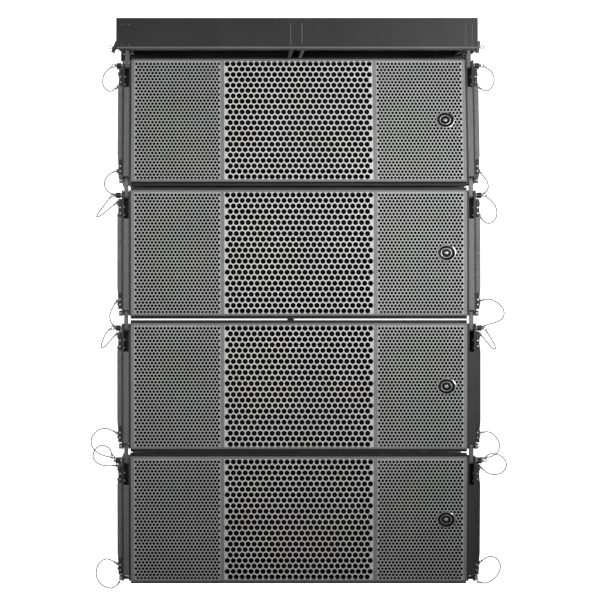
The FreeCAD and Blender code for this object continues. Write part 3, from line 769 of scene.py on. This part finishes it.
def bar_details():
    """The rolled lower edge, the welded tabs of the spine plates and the plug welds of the arms."""
    edge = Parts()
    # the rolled edge gets a paler coat, a painted highlight
    points, faces = run(arc_profile(2.0, 8, 0.5), BAR_ENDS[0] + 0.6, BAR_ENDS[1] - 0.6)
    edge.add(([(p + Vector((0, BAR_FRONT, EDGE_Z))) * MM for p in points], faces))
    welds = Parts()
    upright = Matrix.Rotation(math.radians(90), 4, "Y")
    for x in TAB_WELDS:
        points, faces = run(arc_profile(1.1, 6, 0.9), -TAB_HALF, TAB_HALF, 0.18)
        welds.add(([(upright @ p + Vector((x, BAR_FRONT, TAB_Z))) * MM for p in points], faces))
    for x in END_WELDS:
        points, faces = run(arc_profile(0.6, 6, 0.6), -END_HALF, END_HALF, 0.3)
        welds.add(([(upright @ p + Vector((x, BAR_FRONT, END_Z))) * MM for p in points], faces))
    button = [(0.1, 0.9), (0.9, 0.85), (1.6, 0.6), (2.1, 0.15), (2.3, -0.3)]
    for x in PLUG_X:
        for z in PLUG_Z:
            welds.turned(button, 16, (x, BAR_FRONT, z), (0, -1, 0))
    for name, parts, key in (("bar_rolled_edge", edge, "bar_edge"), ("bar_welds", welds, "weld")):
        piece = parts.object(name, [key], 50.0)
        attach(piece, "fly_bar")


bar_details()


# ---------------------------------------------------------------- small fittings

SCREW = [(0.001, 0.5), (1.1, 0.5), (1.45, 1.9), (2.2, 1.75), (3.1, 1.1), (3.6, 0.25), (3.7, -0.4)]
WASHER = [(0.5, 0.7), (5.0, 0.7), (5.4, 0.5), (5.5, 0.1), (5.4, -0.3)]
SOCKETS = (142.0, 198.0)
REAR = 430.0
COVER = 357.3  # the outside of a side cover
COVER_SCREWS = ((20, -28), (64, -28), (20, -226), (64, -226))  # y and z
PANEL_SCREWS_X = (106.5, 233.5)
PANEL_SCREWS_Z = (MIDDLE - 39.5, MIDDLE, MIDDLE + 39.5)


def screws():
    """Socket-head screws on the side covers, outer plates, input panel and rear bracket."""
    parts = Parts()
    for way in (-1, 1):
        for y, z in COVER_SCREWS:
            parts.turned(WASHER, 20, (way * COVER, y, z), (way, 0, 0), 1)
            parts.turned(SCREW, 18, (way * (COVER + 0.6), y, z), (way, 0, 0))
        for z in (-36, -125, -212):
            parts.turned(SCREW, 18, (way * 350.0, 84, z), (way, 0, 0))
    for x in PANEL_SCREWS_X:
        for z in PANEL_SCREWS_Z:
            parts.turned(SCREW, 18, (x, REAR + 2.0, z), (0, 1, 0))
    for x in (-37.0, 37.0):
        for z in (-52, -125, -200):
            parts.turned(SCREW, 18, (x, REAR + 4.0, z), (0, 1, 0))
    return parts.object("screws", ["dark_zinc", "rubber"], 30.0)


PAD = [(0.001, 1.3), (0.86, 1.3), (0.95, 1.1), (1.0, 0.6), (1.0, -0.3)]
PAD_STUD = [(0.001, 1.5), (1.2, 1.4), (1.9, 0.9), (2.1, 0.2), (2.1, -0.4)]
PAD_SPANS = ((-54.0, -19.5), (-234.0, -203.0))  # z of the upper and the lower pad
PAD_HALF = 3.1  # across


def cover_pads():
    """Rubber pads on the front ends of the side covers, each with two zinc studs."""
    parts = Parts()
    for way in (-1, 1):
        for low, high in PAD_SPANS:
            middle, half = (low + high) / 2, (high - low) / 2
            centre = (way * 353.6, 8.0, middle)
            points, faces = lathe([(r * half, h) for r, h in PAD], 48, centre, (0, -1, 0))
            squared = [squircle(p, Vector(centre) * MM, PAD_HALF / half) for p in points]
            parts.add((squared, faces))
            for step in (-0.55, 0.1):
                spot = (way * 353.4, 6.9, middle + step * half)
                parts.turned(PAD_STUD, 14, spot, (0, -1, 0), 1)
    return parts.object("cover_pads", ["rubber", "zinc"], 30.0)


def squircle(point, centre, narrow):
    """A point of a round outline, moved out to a rounded oblong that is narrow across X."""
    x, z = point.x - centre.x, point.z - centre.z
    reach = math.hypot(x, z)
    if reach < 1e-9:
        return point
    c, n = abs(x) / reach, abs(z) / reach
    grow = (c ** 8 + n ** 8) ** (-1 / 8)
    return Vector((centre.x + x * grow * narrow, point.y, centre.z + z * grow))


CORE = [(0.001, 15.0), (4.6, 15.0), (5.2, 14.4), (5.3, 0.0)]
CONTACT = [(0.001, 9.0), (0.9, 8.8), (1.2, 8.2), (1.2, 0.0)]
CONTACT_CIRCLE = 7.3


def socket_cores():
    """The insulating cores and contacts inside the round sockets, with a latch on each."""
    parts = Parts()
    for x in SOCKETS:
        centre = (x, REAR - 16.0, MIDDLE)
        parts.turned(CORE, 28, centre, (0, 1, 0))
        parts.turned([(9.0, 3.0), (9.6, 3.0), (9.8, 2.6), (9.8, -0.2)], 28, centre, (0, 1, 0))
        for turn in range(4):
            angle = math.radians(45 + 90 * turn)
            across, up = CONTACT_CIRCLE * math.cos(angle), CONTACT_CIRCLE * math.sin(angle)
            parts.turned(CONTACT, 12, (x + across, REAR - 15.0, MIDDLE + up), (0, 1, 0), 1)
        parts.turned([(0.001, 3.4), (2.6, 3.2), (3.4, 2.4), (3.6, 0.6), (3.6, -0.2)], 16,
                     (x, REAR + 4.9, MIDDLE + 13.6), (0, 1, 0), 1, (1.0, 0.55))
    return parts.object("socket_cores", ["handle", "crimp"], 30.0)


copies("screws", screws())
copies("cover_pads", cover_pads())
copies("socket_cores", socket_cores())


# ---------------------------------------------------------------- lanyards

WIRE = 2.0
TOP_ROUTES = {
    ("left", 1): [(361.5, 31, -50), (373, 27, -64), (389, 21, -54), (391, 17, -35), (382, 15, -19),
                  (369, 16, -10.5)],
    ("left", 2): [(361.5, 31, -24), (375, 36, -35), (390, 34, -48), (402, 25, -55), (398, 13, -47),
                  (387, 9, -33), (377, 12, -19), (369, 16, -10.5)],
    ("left", 3): [(361.5, 31, -22), (372, 36, -33), (382, 33, -46), (392, 24, -52), (391, 12, -44),
                  (386, 8, -29), (379, 12, -15), (369, 16, -10.5)],
    ("left", 4): [(361.5, 31, -22), (378, 26, -23), (396, 22, -19), (409, 18, -6), (405, 15, 13),
                  (388, 13, 23), (371, 14, 13), (369, 15, -2)],
    ("right", 1): [(361.5, 31, -50), (376, 26, -64), (391, 21, -51), (393, 17, -31), (382, 15, -16),
                   (369, 16, -10.5)],
    ("right", 2): [(361.5, 31, -50), (367, 29, -63), (382, 25, -67), (394, 21, -54), (393, 18, -35),
                   (382, 16, -20), (369, 16, -10.5)],
    ("right", 3): [(361.5, 31, -23), (373, 36, -36), (384, 32, -50), (391, 20, -54), (387, 9, -42),
                   (378, 10, -27), (369, 16, -13)],
    ("right", 4): [(361.5, 31, -24), (372, 30, -36), (389, 26, -41), (406, 22, -35), (414, 18, -19),
                   (405, 15, -2), (387, 13, 5), (371, 14, 2), (369, 15, -9)],
}
LOWER_ROUTES = {
    ("left", 1): [(361.5, 34, -221), (374, 33, -225), (385, 31, -238), (386, 30, -254),
                  (377, 34, -266), (365, 43, -268.5)],
    ("left", 2): [(361.5, 34, -220), (370, 33, -233), (376, 32, -249), (373, 34, -264),
                  (365, 40.5, -272)],
    ("left", 3): [(361.5, 34, -220), (376, 33, -210), (395, 31, -211), (410, 29, -224),
                  (413, 28, -243), (401, 29, -259), (383, 33, -266), (365, 41.5, -271)],
    ("left", 4): [(361.5, 34, -220), (375, 33, -209), (391, 31, -211), (402, 29, -226),
                  (403, 27, -245), (392, 25, -261), (375, 22, -268), (360, 18, -261),
                  (355, 16.5, -251)],
    ("right", 1): [(361.5, 34, -222), (372, 33, -235), (379, 32, -250), (376, 35, -263),
                   (365, 43, -268.5)],
    ("right", 2): [(361.5, 34, -220), (377, 33, -214), (395, 31, -222), (409, 29, -236),
                   (408, 28, -254), (392, 30, -263), (377, 34, -266), (365, 40.5, -272)],
    ("right", 3): [(361.5, 34, -220), (376, 33, -215), (391, 31, -224), (400, 29, -239),
                   (398, 28, -256), (386, 30, -266), (374, 36, -269), (365, 41.5, -271)],
    ("right", 4): [(361.5, 34, -218), (374, 33, -206), (391, 31, -204), (404, 29, -218),
                   (401, 27, -237), (387, 24, -251), (370, 20, -258), (356, 16.5, -252)],
}
STRANDS = 6
RING = 24
LAY = 9.0  # one turn of the strands


def centreline(route):
    """The points of the route's own spline."""
    curve = bpy.data.curves.new("route", "CURVE")
    curve.dimensions = "3D"
    spline = curve.splines.new("NURBS")
    spline.points.add(len(route) - 1)
    for point, place in zip(spline.points, route):
        point.co = (*place, 1.0)
    spline.order_u = 3
    spline.use_endpoint_u = True
    spline.resolution_u = 18
    holder = bpy.data.objects.new("route", curve)
    bpy.context.scene.collection.objects.link(holder)
    bpy.context.view_layer.update()
    line = bpy.data.meshes.new_from_object(holder.evaluated_get(bpy.context.evaluated_depsgraph_get()))
    points = [v.co.copy() for v in line.vertices]
    bpy.data.objects.remove(holder)
    bpy.data.meshes.remove(line)
    return points


def rope(name, line):
    """A stranded wire rope along a line, with closed ends."""
    points, faces = [], []
    along = 0.0
    tangent = (line[1] - line[0]).normalized()
    side = tangent.orthogonal().normalized()
    for i, here in enumerate(line):
        after = line[min(i + 1, len(line) - 1)]
        before = line[max(i - 1, 0)]
        turned = (after - before).normalized()
        side = (side - turned * side.dot(turned)).normalized()
        other = turned.cross(side)
        along += (here - line[i - 1]).length if i else 0.0
        for k in range(RING):
            angle = math.tau * k / RING
            twist = STRANDS * (angle - math.tau * along / (LAY * MM))
            radius = WIRE * MM / 2 * (0.95 + 0.08 * abs(math.cos(twist / 2)))
            points.append(here + (side * math.cos(angle) + other * math.sin(angle)) * radius)
    for i in range(len(line) - 1):
        for k in range(RING):
            m = (k + 1) % RING
            faces.append((i * RING + k, i * RING + m, (i + 1) * RING + m, (i + 1) * RING + k))
    last = (len(line) - 1) * RING
    faces += [tuple(range(RING))[::-1], tuple(range(last, last + RING))]
    return mesh_object(name, points, faces, ["wire"], smooth_angle=60)


def torus(parts, centre, axis, loop, thick, index=0, steps=20, ring=8):
    """A wire ring; millimetres."""
    axis = Vector(axis).normalized()
    side = axis.orthogonal().normalized()
    other = axis.cross(side)
    points, faces = [], []
    for i in range(steps):
        out = side * math.cos(math.tau * i / steps) + other * math.sin(math.tau * i / steps)
        for k in range(ring):
            angle = math.tau * k / ring
            across = out * (loop + thick * math.cos(angle))
            points.append((Vector(centre) + across + axis * thick * math.sin(angle)) * MM)
    for i in range(steps):
        for k in range(ring):
            j, m = (i + 1) % steps, (k + 1) % ring
            faces.append((i * ring + k, j * ring + k, j * ring + m, i * ring + m))
    parts.add((points, faces), index)


SLEEVE = [(1.15, -3.6), (1.55, -3.3), (1.75, -2.7), (1.75, -1.0), (1.5, -0.7), (1.5, 0.7), (1.75, 1.0),
          (1.75, 2.7), (1.55, 3.3), (1.15, 3.6)]
SLEEVE_AT = 6.0  # from the end
EYE_LOOP, EYE_WIRE = 3.6, 0.85


def fitting(name, line, end, body, eye_axis):
    """A crimped sleeve and the eye that it closes, at one end of a lanyard."""
    ordered = line if end == "first" else line[::-1]
    travelled = 0.0
    for a, b in zip(ordered, ordered[1:]):
        travelled += (b - a).length
        if travelled > SLEEVE_AT * MM:
            break
    way = (b - a).normalized()
    parts = Parts()
    parts.turned(SLEEVE, 16, a / MM, way)
    torus(parts, ordered[0] / MM, eye_axis, EYE_LOOP, EYE_WIRE)
    piece = parts.object(name, ["crimp"], 50.0)
    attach(piece, body)
    return piece


def lanyard(kind, side, number, route, first, last):
    """One lanyard with its two fittings, between the bodies at its two ends."""
    sign = SIDES[side]
    points = [PLACES[number] @ (Vector((sign * u, y, z)) * MM) for u, y, z in route]
    line = centreline(points)
    name = f"lanyard_{kind}_{side}_{number}"
    piece = rope(name, line)
    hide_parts(f"lanyards_{side}_{number}")
    ends = [fitting(f"{name}_fixed_end", line, "first", first, (1, 0, 0)),
            fitting(f"{name}_free_end", line, "last", last, (1, 0, 0) if kind == "lower" else (0, 1, 0))]
    if first == last:
        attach(piece, first)
    else:
        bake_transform(piece)


for (side, n), route in TOP_ROUTES.items():
    lanyard("top", side, n, route, f"element_{n}", f"release_{side}_{n}")
for (side, n), route in LOWER_ROUTES.items():
    lanyard("lower", side, n, route, f"element_{n}", f"element_{min(n + 1, 4)}")


# ---------------------------------------------------------------- studio

EYE = Vector((-0.17, -4.435, -0.4586))
FACE_Y = -0.235  # the plane of the front faces, where the next two are measured
VIEW_WIDTH = 1.1844
VIEW_CENTRE = (0.002, -0.5401)


def camera():
    """A level camera that looks straight at the front, shifted to frame the hang."""
    data = bpy.data.cameras.new("camera")
    data.sensor_width = 36.0
    data.lens = data.sensor_width * (FACE_Y - EYE.y) / VIEW_WIDTH
    data.shift_x = (VIEW_CENTRE[0] - EYE.x) / VIEW_WIDTH
    data.shift_y = (VIEW_CENTRE[1] - EYE.z) / VIEW_WIDTH
    data.clip_end = 60.0
    holder = bpy.data.objects.new("camera", data)
    holder.location = EYE
    holder.rotation_euler = (math.radians(90), 0.0, 0.0)
    bpy.context.scene.collection.objects.link(holder)
    bpy.context.scene.camera = holder


def area_light(name, place, target, size, power):
    data = bpy.data.lights.new(name, "AREA")
    data.shape = "RECTANGLE"
    data.size, data.size_y = size
    data.energy = power
    holder = bpy.data.objects.new(name, data)
    holder.location = place
    holder.rotation_euler = (Vector(target) - Vector(place)).to_track_quat("-Z", "Y").to_euler()
    bpy.context.scene.collection.objects.link(holder)


def spot_light(name, place, target, spread, size, power):
    """A large round lamp whose beam fades from its middle to its edge."""
    data = bpy.data.lights.new(name, "SPOT")
    data.spot_size = math.radians(spread)
    data.spot_blend = 1.0
    data.shadow_soft_size = size
    data.energy = power
    holder = bpy.data.objects.new(name, data)
    holder.location = place
    holder.rotation_euler = (Vector(target) - Vector(place)).to_track_quat("-Z", "Y").to_euler()
    bpy.context.scene.collection.objects.link(holder)


def backdrop():
    """A pale floor that curves up into a lit white wall behind the hang."""
    floor, back, radius, half = -1.55, 6.0, 2.5, 14.0
    profile = [(-16.0, floor), (back - radius, floor)]
    profile += [(back - radius + radius * math.sin(a), floor + radius - radius * math.cos(a))
                for a in (math.pi / 2 * n / 16 for n in range(1, 17))]
    profile.append((back, 12.0))
    points = [Vector((x, y, z)) for y, z in profile for x in (-half, half)]
    faces = [(2 * i, 2 * i + 1, 2 * i + 3, 2 * i + 2) for i in range(len(profile) - 1)]
    mesh = bpy.data.meshes.new("backdrop")
    mesh.from_pydata([tuple(p) for p in points], [], faces)
    tree = Tree("pale_backdrop")
    cloud = tree.noise(0.6)
    tree.link(tree.mix(cloud, grey(0.93), grey(0.96)), tree.shader.inputs["Base Color"])
    tree.shader.inputs["Roughness"].default_value = 1.0
    tree.shader.inputs["Specular IOR Level"].default_value = 0.0
    tree.shader.inputs["Emission Color"].default_value = grey(1.0)
    split = tree.nodes.new("ShaderNodeSeparateXYZ")
    tree.link(tree.where, split.inputs["Vector"])
    low = tree.ranged(split.outputs["Z"], 1.0, 0.0, 1.2, 2.4)
    lit = tree.math("MULTIPLY", low, tree.ranged(split.outputs["Y"], 0.0, 1.05, 1.2, 2.2))
    tree.link(lit, tree.shader.inputs["Emission Strength"])
    mesh.materials.append(tree.material)
    for face in mesh.polygons:
        face.use_smooth = True
    piece = bpy.data.objects.new("backdrop", mesh)
    bpy.context.scene.collection.objects.link(piece)


AMBIENT = 0.22
KEY_POWER, FILL_POWER, TOP_POWER = 680.0, 330.0, 9.0  # watts


def studio():
    """Soft light: dim all round, a fading key on the right, a fill on the left and a panel above."""
    world = bpy.data.worlds.new("studio")
    bpy.context.scene.world = world
    world.use_nodes = True
    world.node_tree.nodes["Background"].inputs["Color"].default_value = (1.0, 1.0, 1.0, 1.0)
    world.node_tree.nodes["Background"].inputs["Strength"].default_value = AMBIENT
    spot_light("key", (1.9, -3.4, 0.1), (0.36, -0.2, -0.26), 27.0, 0.45, KEY_POWER)
    spot_light("fill", (-2.0, -3.3, 0.0), (-0.25, -0.2, -0.36), 38.0, 0.45, FILL_POWER)
    area_light("top", (0.0, -1.6, 3.0), (0.0, -0.2, -0.6), (3.5, 1.6), TOP_POWER)
    bpy.context.scene.view_settings.view_transform = "Standard"


camera()
studio()
backdrop()
